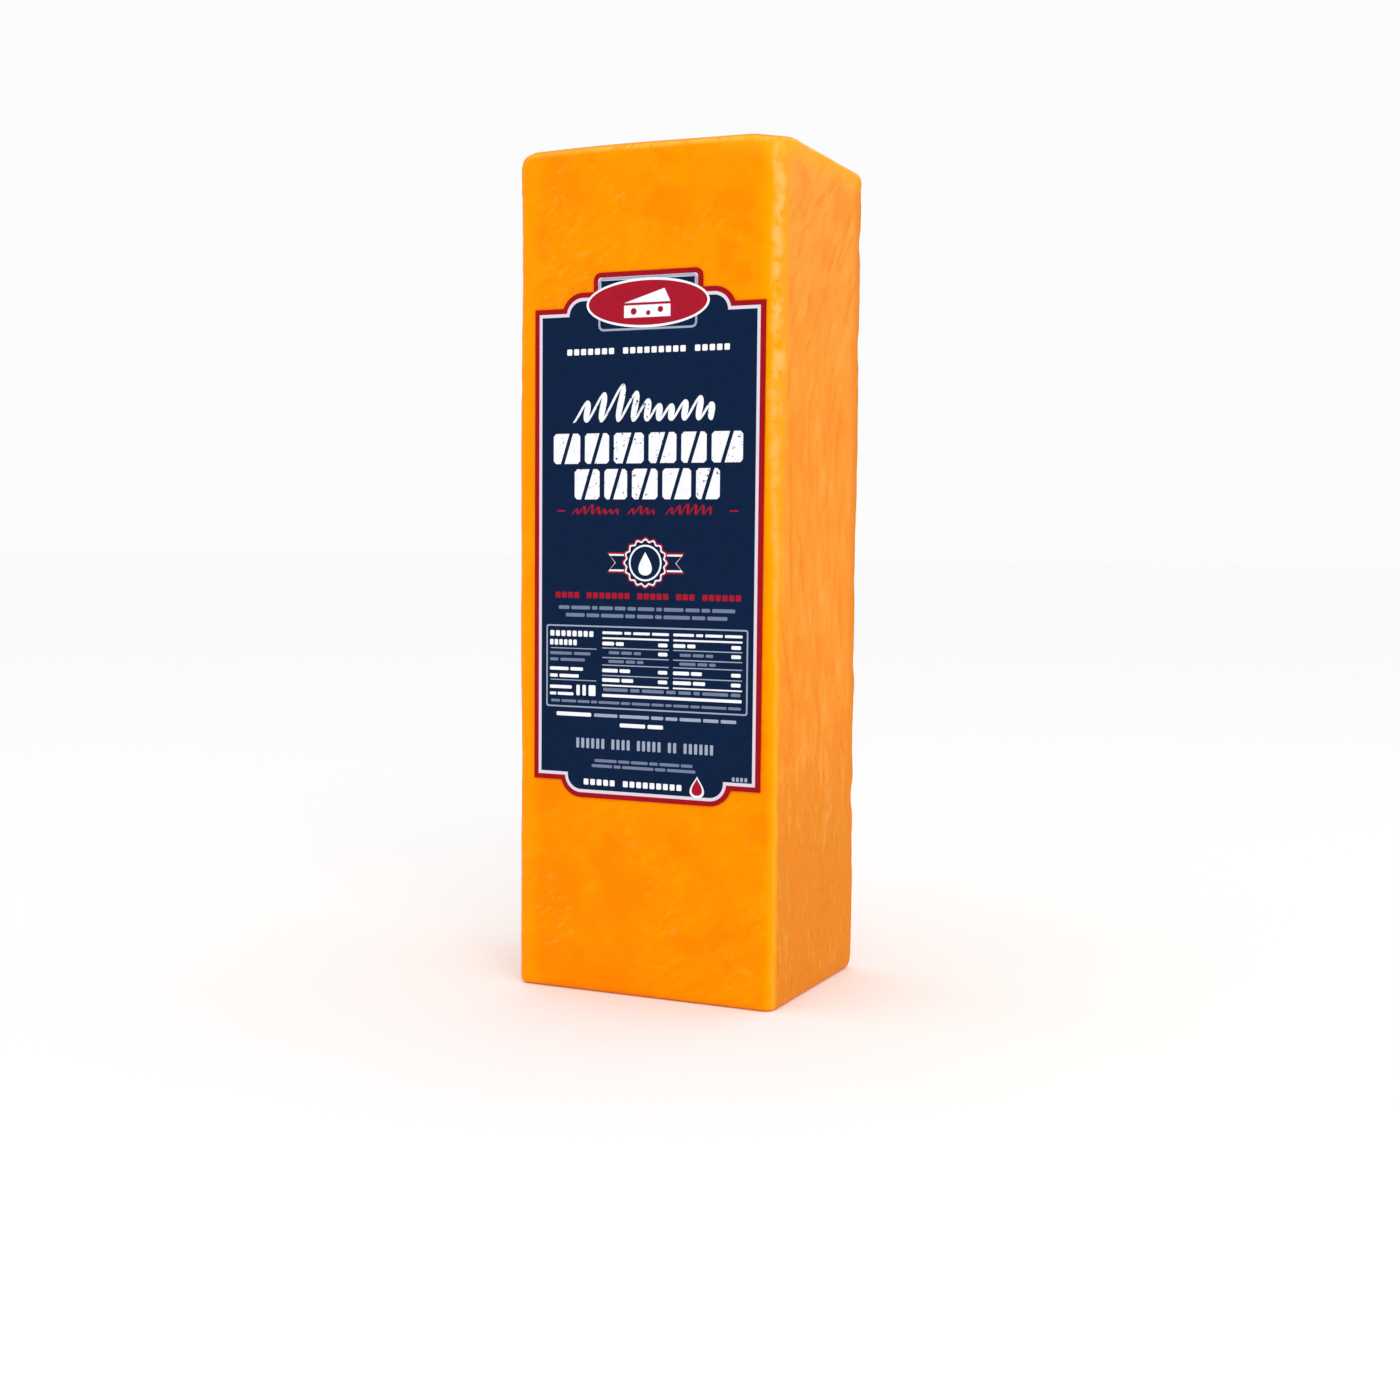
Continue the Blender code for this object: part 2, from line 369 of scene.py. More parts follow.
def rounded_box(settings):
    """A box of the loaf's size, with each edge rounded to its own radius."""
    begin()
    bpy.ops.mesh.primitive_cube_add(size=1.0, location=(0.0, 0.0, HEIGHT / 2))
    loaf = bpy.context.object
    loaf.name = loaf.data.name = "cheddar_loaf"
    loaf.scale = (WIDTH, DEPTH, HEIGHT)
    bpy.ops.object.transform_apply(location=True, rotation=False, scale=True)
    weight = loaf.data.attributes.new("bevel_weight_edge", "FLOAT", "EDGE")
    for edge in loaf.data.edges:
        ends = [loaf.data.vertices[i].co for i in edge.vertices]
        radius = edge_radius((ends[0] + ends[1]) / 2, settings.near_radius)
        weight.data[edge.index].value = radius / LARGEST_RADIUS
    bevel = loaf.modifiers.new("rounded_edges", "BEVEL")
    bevel.limit_method = "WEIGHT"
    bevel.width = LARGEST_RADIUS
    bevel.segments = 8
    bpy.ops.object.modifier_apply(modifier=bevel.name)
    return loaf


def cut_into_cells(loaf, settings):
    """Cuts the rounded box into fine cells, finer on the cut sides than on the pressed faces."""
    bpy.ops.object.mode_set(mode="EDIT")
    bpy.ops.mesh.select_mode(type="EDGE")
    for axis, size, cell in ((0, WIDTH, settings.cell_front), (1, DEPTH, settings.cell_across)):
        reach = size / 2 - LARGEST_RADIUS
        count = round(2 * reach / cell)
        for step in range(count + 1):
            place = [0.0, 0.0, 0.0]
            facing = [0.0, 0.0, 0.0]
            place[axis] = -reach + 2 * reach * step / count
            facing[axis] = 1.0
            bpy.ops.mesh.select_all(action="SELECT")
            bpy.ops.mesh.bisect(plane_co=place, plane_no=facing, threshold=1e-6)
    # The long upright edges are cut into 16 parts, and each of those into 16 cells.
    for longest in (0.2, 0.01):
        choose_upright(loaf.data, longest)
        bpy.ops.mesh.subdivide(number_cuts=15)
    bpy.ops.object.mode_set(mode="OBJECT")


def choose_upright(mesh, longest):
    """In edit mode, selects the edges that run up the loaf and are longer than this."""
    bpy.ops.mesh.select_all(action="DESELECT")
    form = bmesh.from_edit_mesh(mesh)
    for edge in form.edges:
        along = edge.verts[0].co - edge.verts[1].co
        if abs(along.z) > longest and abs(along.x) + abs(along.y) < 1e-5:
            edge.select_set(True)
    bmesh.update_edit_mesh(mesh)


def label_distance(point):
    """How far a point of the front face lies outside the label's rectangle."""
    across = abs(point.x - LABEL_CENTRE) - LABEL_WIDTH / 2
    above = point.z - (LABEL_SHOULDER + CREST_RISE)
    below = (LABEL_SHOULDER - LABEL_BODY - FOOT_DROP) - point.z
    return max(across, above, below)


def strands(point, settings):
    """The curd's relief on a cut side, about -1 to 1: short wavy strands, finer lower down."""
    wave = WAVE_REACH * noise.noise(point / WAVE_LENGTH)
    lean = max(point.z - LEAN_START, 0.0) ** 2
    length_ways = (point.z + SHORTENING * lean) / STRAND_STRETCH
    along = Vector((point.x, point.y - LEAN_CURVE * lean + wave, length_ways))
    broad = noise.noise(along / settings.curd_width + STRAND_PLACE)
    fine = noise.noise(along / (settings.curd_width * FINE_STRAND) + FINE_PLACE)
    low = smooth_step((FINE_BELOW - point.z) / FINE_BELOW)
    return broad * (1.3 - 0.5 * low) + fine * (0.5 + 0.7 * low)


def scar(point):
    """Depth, from 0 to 1, of the scars on the right side: lines that run from point to point."""
    if point.x < 0.0:
        return 0.0
    here = Vector((point.y, point.z))
    deepest = 0.0
    for width, line in SCARS:
        for start, stop in zip(line, line[1:]):
            start, stop = Vector(start), Vector(stop)
            share = (here - start).dot(stop - start) / (stop - start).length_squared
            nearest = start.lerp(stop, min(max(share, 0.0), 1.0))
            deepest = max(deepest, smooth_step(1.0 - (here - nearest).length / width))
    return deepest


def relief(point, normal, settings):
    """How far the skin stands proud of the true form, and the curd's own share of that."""
    swell = SWELL_DEPTH * noise.noise(point / SWELL_LENGTH + SWELL_PLACE)
    along = Vector((point.x, point.y, point.z / FURROW_STRETCH))
    furrow = FURROW_DEPTH * noise.noise(along / FURROW_WIDTH + FURROW_PLACE)
    sideways = max(abs(normal.x) - 0.5, 0.0) * 2.0
    height = swell + furrow * sideways
    curd = 0.0
    if sideways > 0.0:
        curd = strands(point, settings) * smooth_step(sideways)
        curd -= SCAR_DEPTH * scar(point) * smooth_step(sideways)
        height += settings.curd_depth * curd
    if normal.y < -0.5:
        height *= smooth_step(label_distance(point) / LABEL_CALM)
    height -= TOP_CROWN * (2.0 * point.x / WIDTH) ** 2 * max(normal.z, 0.0)
    return height * smooth_step(point.z / BASE_CALM), curd


def knocks():
    """The knocks up the near edge: height, depth and half length, uneven in the first two."""
    for step in range(1, int(HEIGHT / KNOCK_SPACING)):
        drift = noise.noise(Vector((step * 1.7, 4.1, 0.3)))
        uneven = noise.noise(Vector((step * 2.3, 0.7, 9.2)))
        height = (step + 0.45 * drift) * KNOCK_SPACING
        yield height, KNOCK_DEPTH * (0.65 + 0.7 * uneven), KNOCK_LENGTH


def chips(point):
    """Small chips up the near edge, about -1 to 1: lobes with crumbs on them and cracks between."""
    along = Vector((point.x / CHIP_BREADTH, point.y / CHIP_BREADTH, point.z))
    lobe = noise.noise(along / CHIP_LENGTH + CHIP_PLACE)
    crumb = noise.noise(along / (CHIP_LENGTH * CRUMB_SHARE) + CRUMB_PLACE)
    crack = 1.0 - min(abs(lobe) / CRACK_WIDTH, 1.0)
    return lobe + 0.35 * crumb - 0.9 * crack


def edge_wear(point, settings, near_knocks):
    """Depth of the wear at the right side's corner and upright edges, and the chips' own share."""
    away = (point - Vector((WIDTH / 2, -DEPTH / 2, HEIGHT))).length
    total = CORNER_DEPTH * smooth_step(1.0 - away / CORNER_REACH)
    chipped = 0.0
    for side, marks in ((-1, near_knocks), (1, FAR_DENTS)):
        aside = Vector((point.x - WIDTH / 2, point.y - side * DEPTH / 2)).length
        beside = smooth_step(1.0 - aside / EDGE_REACH)
        if beside == 0.0:
            continue
        for height, depth, half_length in marks:
            total += beside * depth * smooth_step(1.0 - abs(point.z - height) / half_length)
        if marks is near_knocks:
            chipped = -beside * chips(point)
            total += settings.chip_depth * chipped
    return total, chipped


def carve(loaf, settings):
    """Moves the skin along its normals, and keeps its fine relief for the material."""
    mesh = loaf.data
    near_knocks = list(knocks())
    fine = mesh.attributes.new("fine_relief", "FLOAT", "POINT")
    normals = [vertex.normal.copy() for vertex in mesh.vertices]
    for vertex, normal in zip(mesh.vertices, normals):
        point = vertex.co.copy()
        if point.z < 1e-6:
            continue
        height, curd = relief(point, normal, settings)
        depth, chipped = edge_wear(point, settings, near_knocks)
        vertex.co = point + normal * (height - depth * smooth_step(point.z / BASE_CALM))
        fine.data[vertex.index].value = curd - chipped
    mesh.update()


def pressed_look(tree, place, across, height, settings):
    """Colour and height of the pressed faces: deep orange, with blotches, smears and scuffs,
    painted light towards the right and painted shade towards the base.
    """
    blotch = add(tree, "TexNoise", {"Vector": place, **BLOTCHES})
    patch = add(tree, "TexNoise", {"Vector": place, **SCUFFED_PATCHES})
    turned = add(tree, "Mapping", {"Vector": place, "Rotation": (0.0, radians(SMEAR_RISE), 0.0)})
    drawn = add(tree, "Mapping", {"Vector": turned, "Scale": (1.0 / SMEAR_STRETCH, 1.0, 1.0)})
    smear = add(tree, "TexNoise", {"Vector": drawn, **SMEARS})
    scratch = add(tree, "TexNoise", {"Vector": drawn, **SCUFFS})

    # Painted light and shade: the face is a little yellower towards the right, where more light
    # falls, and deeper towards the base, where less light reaches.
    right = add(tree, "MapRange", {0: across, 1: -WIDTH / 2, 2: WIDTH / 2, 4: 0.60})
    low = add(tree, "MapRange", {0: height, 1: 0.200, 2: 0.030, 4: 0.34})
    layers = (
        (settings.pressed_smear_and_lit, right),
        (settings.pressed_deep_and_shade, low),
        (settings.pressed_deep_and_shade, 0.80, (blotch, 0.52, 0.36)),
        (settings.pressed_smear_and_lit, 0.80, (blotch, 0.44, 0.64), (smear, 0.40, 0.62)),
        (settings.pressed_deep_and_shade, 0.40, (smear, 0.46, 0.30)),
        (settings.scuff, 0.55, (patch, 0.54, 0.66), (scratch, 0.54, 0.72)),
    )
    skin = lay_over(tree, opaque(settings.pressed), layers)
    uneven = add(tree, "Math", {0: smear, 1: 0.5}, operation="MULTIPLY")
    return skin, add(tree, "Math", {0: blotch, 1: 0.35, 2: uneven}, operation="MULTIPLY_ADD")


def curd_vector(tree, place, height):
    """Coordinates in which the strands of curd run straight up, at one length."""
    above = add(tree, "Math", {0: height, 1: LEAN_START}, operation="SUBTRACT")
    above = add(tree, "Math", {0: above, 1: 0.0}, operation="MAXIMUM")
    squared = add(tree, "Math", {0: above, 1: above}, operation="MULTIPLY")
    feeds = {0: squared, 1: (0.0, -LEAN_CURVE, SHORTENING), 2: place}
    moved = add(tree, "VectorMath", feeds, operation="MULTIPLY_ADD")
    return add(tree, "Mapping", {"Vector": moved, "Scale": (1.0, 1.0, 1.0 / STRAND_STRETCH)})


def cut_look(tree, place, height, fine_relief, settings):
    """Colour and height of the cut sides: pale strands, deeper furrows with painted shade, painted
    light towards the top, and painted shade that makes them browner lower down.
    """
    curd = curd_vector(tree, place, height)
    strand = {"Scale": 1.0 / settings.curd_width, "Detail": 6.0, "Roughness": 0.65}
    broad = add(tree, "TexNoise", {"Vector": curd, **strand, "Distortion": 0.5})
    fine = {"Scale": 1.0 / (FIBRE * settings.curd_width), "Detail": 3.0, "Roughness": 0.6}
    fibre = add(tree, "TexNoise", {"Vector": curd, **fine})
    cloud = add(tree, "TexNoise", {"Vector": place, **CLOUDS})
    raised = add(tree, "Math", {0: fine_relief, 1: 0.5, 2: broad}, operation="MULTIPLY_ADD")

    high = add(tree, "MapRange", {0: height, 1: 0.190, 2: 0.285, 4: 0.42})
    hairy = add(tree, "MapRange", {0: height, 1: 0.150, 2: 0.050, 3: 0.28, 4: 0.72}, **EASED)
    layers = (
        # Painted light: paler towards the top. Painted shade: browner towards the base.
        (settings.cut_pale_and_lit, high),
        (settings.cut_low_shade, 1.0, (height, 0.115, 0.040)),
        (settings.cut_deep_and_shade, 0.40, (cloud, 0.50, 0.32)),
        (settings.cut_pale_and_lit, 0.55, (cloud, 0.30, 0.60), (raised, 0.50, 0.95)),
        # Painted shade in the furrows and scars, where the relief is low.
        (settings.cut_deep_and_shade, 0.65, (raised, 0.50, 0.05)),
        (settings.cut_fibre, hairy, (fibre, 0.47, 0.31)),
    )
    skin = lay_over(tree, opaque(settings.cut), layers)
    return skin, add(tree, "Math", {0: fibre, 1: 0.5, 2: broad}, operation="MULTIPLY_ADD")


def edge_coordinate(tree, place, across, deep, upper):
    """Distance across each upright edge: below 0 on a pressed face, above 0 on a cut side.

    It wanders along the edge, and more so towards the top.
    """
    from_side = add(tree, "Math", {0: across}, operation="ABSOLUTE")
    from_face = add(tree, "Math", {0: deep}, operation="ABSOLUTE")
    edge = add(tree, "Math", {0: from_side, 1: from_face}, operation="SUBTRACT")
    edge = add(tree, "Math", {0: edge, 1: (DEPTH - WIDTH) / 2}, operation="ADD")
    along = add(tree, "Mapping", {"Vector": place, "Scale": WANDER_SCALE})
    wander = add(tree, "TexNoise", {"Vector": along, **WANDERING})
    reach = add(tree, "MapRange", {0: upper, 3: 2.0 * MM, 4: 5.0 * MM})
    wander = add(tree, "Math", {0: wander, 1: 0.5}, operation="SUBTRACT")
    return add(tree, "Math", {0: wander, 1: reach, 2: edge}, operation="MULTIPLY_ADD")


def edges_worn_and_lit(tree, skin, place, axes, facing_up, fine_relief, settings):
    """Lays over the skin what the edges show: the near edge's worn strip with its painted highlight
    and painted light, painted shade on the far rims, and the top with its painted highlight.
    """
    across, deep, height = axes
    upper = add(tree, "MapRange", {0: height, 1: 0.080, 2: 0.215}, **EASED)
    edge = edge_coordinate(tree, place, across, deep, upper)
    upright = add(tree, "Mapping", {"Vector": place, "Scale": CRUMB_SCALE})
    cells = add(tree, "TexNoise", {"Vector": upright, **CRUMBS})
    cells = add(tree, "Math", {0: fine_relief, 1: 0.30, 2: cells}, operation="MULTIPLY_ADD")
    right = add(tree, "Math", {0: across, 1: 0.0}, operation="GREATER_THAN")
    front = add(tree, "Math", {0: deep, 1: 0.0}, operation="LESS_THAN")
    level = add(tree, "Math", {0: facing_up}, operation="ABSOLUTE")
    near = add(tree, "Math", {0: right, 1: front}, operation="MULTIPLY")
    near = add(tree, "MapRange", {0: level, 1: 0.85, 2: 0.50, 4: near}, **EASED)

    # The near edge's strip is worn pale cheese with a painted highlight on it. Towards the top it
    # starts further round on the front, and is palest. Towards the base it narrows to one even
    # line. A yellow tone of painted light on the lit rounding leads to it, and another one leads
    # from it.
    start = add(tree, "Math", {0: upper, 1: 4.3 * MM, 2: -0.3 * MM}, operation="MULTIPLY_ADD")
    inside = add(tree, "Math", {0: edge, 1: start}, operation="ADD")
    beside = add(tree, "Math", {0: near, 1: upper}, operation="MULTIPLY")
    palest = add(tree, "MapRange", {0: height, 1: 0.140, 2: 0.230, 3: 0.62, 4: 0.98}, **EASED)
    palest = add(tree, "Math", {0: palest, 1: near}, operation="MULTIPLY")
    least = add(tree, "MapRange", {0: upper, 3: 0.05, 4: 0.22})
    most = add(tree, "MapRange", {0: upper, 3: 0.34, 4: 0.64})
    frayed = add(tree, "MapRange", {0: upper, 3: 1.0 * MM, 4: -6.0 * MM})
    frayed = add(tree, "Math", {0: cells, 1: frayed, 2: edge}, operation="MULTIPLY_ADD")
    stop = add(tree, "MapRange", {0: upper, 3: 3.6 * MM, 4: -0.2 * MM})
    solid = add(tree, "MapRange", {0: upper, 3: 0.9 * MM, 4: -4.4 * MM})
    strip = (cells, least, most), (inside, -0.6 * MM, 2.2 * MM), (frayed, stop, solid)

    # The skin that turns round the far edges is smoother, and painted deeper as shade where it
    # turns from the light, with a browner painted shadow line on it.
    far = (front, 1.0, 0.0), (level, 0.85, 0.50)
    rim = add(tree, "MapRange", {0: cells, 1: 0.30, 2: 0.60, 3: 0.55, 4: 1.0}, **EASED)
    line = add(tree, "Math", {0: rim, 1: 0.8}, operation="MULTIPLY")

    # The front's left margin is a little yellower, as the top is towards the cut side; this is
    # painted light, which lifts the margin where the face turns from the light. Under the top there
    # is a broken pale streak, a painted highlight, and above it an ochre line.
    left = (right, 1.0, 0.0), (front, 0.0, 1.0)
    cap = (across, 0.014, 0.046), (height, 0.271, 0.282)
    fullest = add(tree, "MapRange", {0: across, 1: -0.036, 2: -0.010, 3: 0.60, 4: 1.0}, **EASED)
    crumbs = add(tree, "MapRange", {0: cells, 1: 0.32, 2: 0.54, 3: 0.20, 4: fullest}, **EASED)
    layers = (
        # Painted light on the near edge's rounding, to each side of its highlight.
        (settings.ramp, near, (inside, -4.2 * MM, -0.4 * MM), (edge, 4.4 * MM, 2.2 * MM)),
        (settings.band, beside, (edge, -0.4 * MM, 0.8 * MM), (edge, 7.2 * MM, 3.6 * MM)),
        # Worn pale cheese up the near edge, with a painted highlight, palest towards the top.
        (settings.rubbed_and_highlit, palest, *strip),
        # Painted shade on the far edges, with a painted shadow line.
        (settings.far_edge_shade, rim, *far, (edge, -5.0 * MM, 1.0 * MM), (edge, 13.0 * MM, 6.0 * MM)),
        (settings.far_shadow_line, line, *far, (edge, 0.4 * MM, 3.0 * MM), (edge, 6.5 * MM, 3.4 * MM)),
        # Painted light on the front's left margin.
        (settings.ramp, 0.45, *left, (edge, -11.0 * MM, -4.0 * MM), (edge, 4.0 * MM, 1.0 * MM)),
        (settings.cap, 0.70, *cap, (facing_up, 0.97, 0.85)),
        # Painted highlight under the top's rounded edges.
        (settings.top_edge_highlight, crumbs, (facing_up, 0.25, 0.62), (facing_up, 0.82, 0.72)),
        (settings.top_line, 0.75, (facing_up, 0.74, 0.84), (facing_up, 0.995, 0.980)),
    )
    return lay_over(tree, skin, layers)


def cheddar(settings):
    """Cheddar: pressed in a form on the front and back, cut along the sides.

    The pressed skin is smooth, deep orange and faintly waxy. The cut sides show strands of curd
    that scatter more light, so they are paler and duller, and the near edge is worn pale. Light and
    shade are painted on as well: a highlight up the near edge and under the top, light towards the
    right and the top, and shade towards the base, in the furrows and on the far edges.
    """
    material, tree, shader, place = new_material("cheddar_pressed_and_cut")
    axes = add(tree, "SeparateXYZ", {0: place}).node.outputs[:3]
    facing = add(tree, "SeparateXYZ", {0: place.node.outputs["Normal"]}).node.outputs
    fine_relief = add(tree, "Attribute", {}, result=2, attribute_name="fine_relief")
    sideways = add(tree, "Math", {0: facing[0]}, operation="ABSOLUTE")
    is_cut = add(tree, "MapRange", {0: sideways, 1: 0.86, 2: 0.97}, **EASED)

    pressed, smooth = pressed_look(tree, place, axes[0], axes[2], settings)
    cut, rough = cut_look(tree, place, axes[2], fine_relief, settings)
    skin = add(tree, "Mix", {0: is_cut, 6: pressed, 7: cut}, **COLOURS)
    skin = edges_worn_and_lit(tree, skin, place, axes, facing[2], fine_relief, settings)
    tree.links.new(skin, shader.inputs["Base Color"])

    dull = add(tree, "MapRange", {0: is_cut, 3: 0.42, 4: 0.62})
    dull = add(tree, "Math", {0: smooth, 1: 0.10, 2: dull}, operation="MULTIPLY_ADD")
    tree.links.new(dull, shader.inputs["Roughness"])
    smooth = add(tree, "Math", {0: smooth, 1: 0.30}, operation="MULTIPLY")
    uneven = add(tree, "Mix", {0: is_cut, 2: smooth, 3: rough})
    bump = add(tree, "Bump", {"Strength": 0.7, "Distance": 0.18 * MM, "Height": uneven})
    tree.links.new(bump, shader.inputs["Normal"])

    shader.inputs["IOR"].default_value = 1.45
    shader.inputs["Specular IOR Level"].default_value = 0.10
    shader.inputs["Specular Tint"].default_value = opaque(settings.gloss)
    return material


class CHEDDAR_OT_loaf(bpy.types.Operator):
    """Model the loaf of cheese, with its rounded edges, strands of curd, dents and chips"""

    bl_idname = "cheddar.loaf"
    bl_label = "Loaf"

    def execute(self, context):
        settings = context.scene.cheddar_loaf
        loaf = rounded_box(settings)
        cut_into_cells(loaf, settings)
        carve(loaf, settings)
        bpy.ops.object.shade_smooth()
        loaf.data.materials.append(cheddar(settings))
        finish_piece(loaf, "cheddar", "cheese_block")
        return {"FINISHED"}


# The label. Its shapes are laid out in millimetres, from the middle of the shoulder line.


def arc(centre, radius, start, stop, steps=8):
    """Points along a round stretch of an outline, from one angle to the other."""
    for step in range(steps + 1):
        turn = start + (stop - start) * step / steps
        yield centre[0] + radius * cos(turn), centre[1] + radius * sin(turn)


def label_right_side(inset):
    """The right half of the label's outline, drawn in by some millimetres, from head to foot."""
    half = LABEL_WIDTH / MM / 2 - inset
    crest, rise = CREST_HALF_WIDTH / MM - inset, CREST_RISE / MM - inset
    corner = max(CREST_RADIUS / MM - inset, LEAST_CORNER)
    body, step = LABEL_BODY / MM - inset, STEP_RISE / MM - inset
    sweep, centre = ROUND_RADIUS / MM - inset, ROUND_CENTRE / MM
    yield from arc((crest - corner, rise - corner), corner, pi / 2, 0.0)
    yield crest, step
    head = step - sweep
    yield from arc((centre, head), sweep, pi / 2, asin((-inset - head) / sweep))
    yield half, -inset
    yield half, -body
    foot = sweep - body - FOOT_DROP / MM
    yield from arc((centre, foot), sweep, -asin((foot + body) / sweep), -pi / 2)


def label_outline(inset):
    """The whole outline, with the left half as the mirror image of the right one."""
    right = list(label_right_side(inset))
    return right + [(-u, v) for u, v in reversed(right)]


def rounded_rectangle(u, v, width, height, radius):
    """A closed outline of a rectangle with round corners, about its middle."""
    radius = min(radius, (min(width, height) - LEAST_STRAIGHT) / 2)
    points = []
    for turn, (side, end) in enumerate(((1, 1), (-1, 1), (-1, -1), (1, -1))):
        centre = (u + side * (width / 2 - radius), v + end * (height / 2 - radius))
        points += arc(centre, radius, turn * pi / 2, (turn + 1) * pi / 2, steps=3)
    return points


def ellipse(u, v, half_width, half_height, steps=48):
    """A closed outline of an ellipse."""
    angles = [tau * step / steps for step in range(steps)]
    return [(u + half_width * cos(a), v + half_height * sin(a)) for a in angles]


def drop(u, v, half_width, half_height, steps=40):
    """A closed outline of a hanging drop, with its point at the top."""
    points = []
    for step in range(steps):
        turn = tau * step / steps
        bulge = sin(turn) * sin(turn / 2) ** 1.5
        points.append((u + half_width * bulge, v + half_height * cos(turn)))
    return points


def rosette(u, v, radius, scallop, lobes):
    """A closed outline of a round rosette with a scalloped rim."""
    points = []
    steps = lobes * 8
    for step in range(steps):
        turn = tau * step / steps
        reach = radius + scallop * cos(lobes * turn)
        points.append((u + reach * cos(turn), v + reach * sin(turn)))
    return points


def stroke(start, end, slant, thick, thin, steps=8):
    """One stroke of a flat brush between two points: fullest midway, and leaning by its height."""
    right, left = [], []
    rise, run = end[1] - start[1], end[0] - start[0]
    for step in range(steps + 1):
        share = step / steps
        eased = share - BRUSH_EASE * sin(tau * share)
        u = start[0] + run * share + slant * rise * (eased - share)
        v = start[1] + rise * eased
        half = thin / 2 + (thick - thin) / 2 * sin(pi * share)
        right.append((u + half, v))
        left.append((u - half, v))
    return right + left[::-1]


def brush_wave(u, v, heights, advance, slant, thick, thin):
    """A row of waves as a brush draws it: heavy strokes down, light strokes up.

    The taller a wave is, the further it reaches along the row.
    """
    down, up = [], []
    for height in heights:
        reach = advance * (0.7 + 0.05 * height / thin)
        head = (u + reach / 2 + slant * height, v + height)
        up.append(stroke((u, v), head, slant, thin * 1.3, thin))
        down.append(stroke(head, (u + reach, v), slant, thick, thin))
        u += reach
    return down, up


def blocks(u, v, width, height, counts, space=0.28):
    """A line of words made of small blocks: counts gives the blocks in each word."""
    pitch = width / (sum(counts) + len(counts) - 1 - space)
    size = pitch * (1 - space)
    left = u - width / 2
    for count in counts:
        for _ in range(count):
            yield rounded_rectangle(left + size / 2, v, size, height, BLOCK_CORNER)
            left += pitch
        left += pitch


def spans(u, width, lengths, gap):
    """The left and right ends of the shapes in a row, which fill its width in these proportions."""
    unit = (width - gap * (len(lengths) - 1)) / sum(lengths)
    left = u - width / 2
    for size in lengths:
        yield left, left + unit * size
        left += unit * size + gap


def bars(u, v, width, height, lengths, gap):
    """A row of bars that stands for a line of words of these relative lengths."""
    for left, right in spans(u, width, lengths, gap):
        yield rounded_rectangle((left + right) / 2, v, right - left, height, height * 0.3)


def split_blocks(u, v, width, height, lengths, gap):
    """A row of bold blocks with clipped corners, each cut in two by a slanting slit."""
    top, foot = v + height / 2, v - height / 2
    clip, lean, slit = 0.9, height * 0.16, 0.7
    for left, right in spans(u, width, lengths, gap):
        middle = (left + right) / 2
        yield [
            (left, foot + clip),
            (left, top - clip),
            (left + clip, top),
            (middle + lean - slit, top),
            (middle - lean - slit, foot),
            (left + clip, foot),
        ]
        yield [
            (middle + lean + slit, top),
            (right - clip, top),
            (right, top - clip),
            (right, foot + clip),
            (right - clip, foot),
            (middle - lean + slit, foot),
        ]


def flat_shape(name, outlines, front, back):
    """Closed outlines, filled and drawn out from front to back in the label's place."""
    flat = bpy.data.curves.new(name, "CURVE")
    flat.dimensions = "2D"
    flat.fill_mode = "BOTH"
    flat.extrude = (back - front) / 2 / MM
    for outline in outlines:
        line = flat.splines.new("POLY")
        line.points.add(len(outline) - 1)
        for point, (u, v) in zip(line.points, outline):
            point.co = (u, v, 0.0, 1.0)
        line.use_cyclic_u = True
    shape = bpy.data.objects.new(name, flat)
    bpy.context.collection.objects.link(shape)
    shape.scale = (MM, MM, MM)
    shape.rotation_euler = (pi / 2, 0.0, 0.0)
    shape.location = (LABEL_CENTRE, (front + back) / 2, LABEL_SHOULDER)
    shape.select_set(True)
    bpy.context.view_layer.objects.active = shape


def one_solid(name, material):
    """Turns the selected flat shapes into one piece with closed seams and its faces outward."""
    bpy.ops.object.convert(target="MESH")
    if len(bpy.context.selected_objects) > 1:
        bpy.ops.object.join()
    bpy.ops.object.transform_apply(location=True, rotation=True, scale=True)
    piece = bpy.context.object
    bpy.ops.object.mode_set(mode="EDIT")
    bpy.ops.mesh.select_all(action="SELECT")
    bpy.ops.mesh.remove_doubles(threshold=1e-6)
    bpy.ops.mesh.normals_make_consistent(inside=False)
    bpy.ops.object.mode_set(mode="OBJECT")
    piece.name = piece.data.name = name
    piece.data.materials.clear()
    piece.data.materials.append(material)
    return piece


def ink(name, levels, material, settings):
    """Prints flat shapes on the label, as thin closed solids.

    Each level is its height above the paper, counted in layers of ink, and its closed outlines.
    """
    begin()
    paper_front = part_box("label")[0].y
    for level, outlines in levels:
        front = paper_front - settings.layer * level
        flat_shape(name, outlines, front, front + settings.layer * INK_SEAT)
    finish_piece(one_solid(name, material), "label_print")


def coated_paper(settings):
    """Coated label paper: white, smooth, with a faint tooth that shows as a soft sheen."""
    material, tree, shader, place = new_material("coated_label_paper")
    tooth = add(tree, "TexNoise", {"Vector": place, **TOOTH})
    cloud = add(tree, "TexNoise", {"Vector": place, **PAPER_CLOUDS})
    darker = opaque([v * 0.97 for v in settings.paper])
    shade = add(tree, "Mix", {0: cloud, 6: opaque(settings.paper), 7: darker}, **COLOURS)
    tree.links.new(shade, shader.inputs["Base Color"])
    bump = add(tree, "Bump", {"Strength": 0.25, "Distance": 0.02 * MM, "Height": tooth})
    tree.links.new(bump, shader.inputs["Normal"])
    shader.inputs["Roughness"].default_value = 0.5
    shader.inputs["Specular IOR Level"].default_value = 0.1
    return material


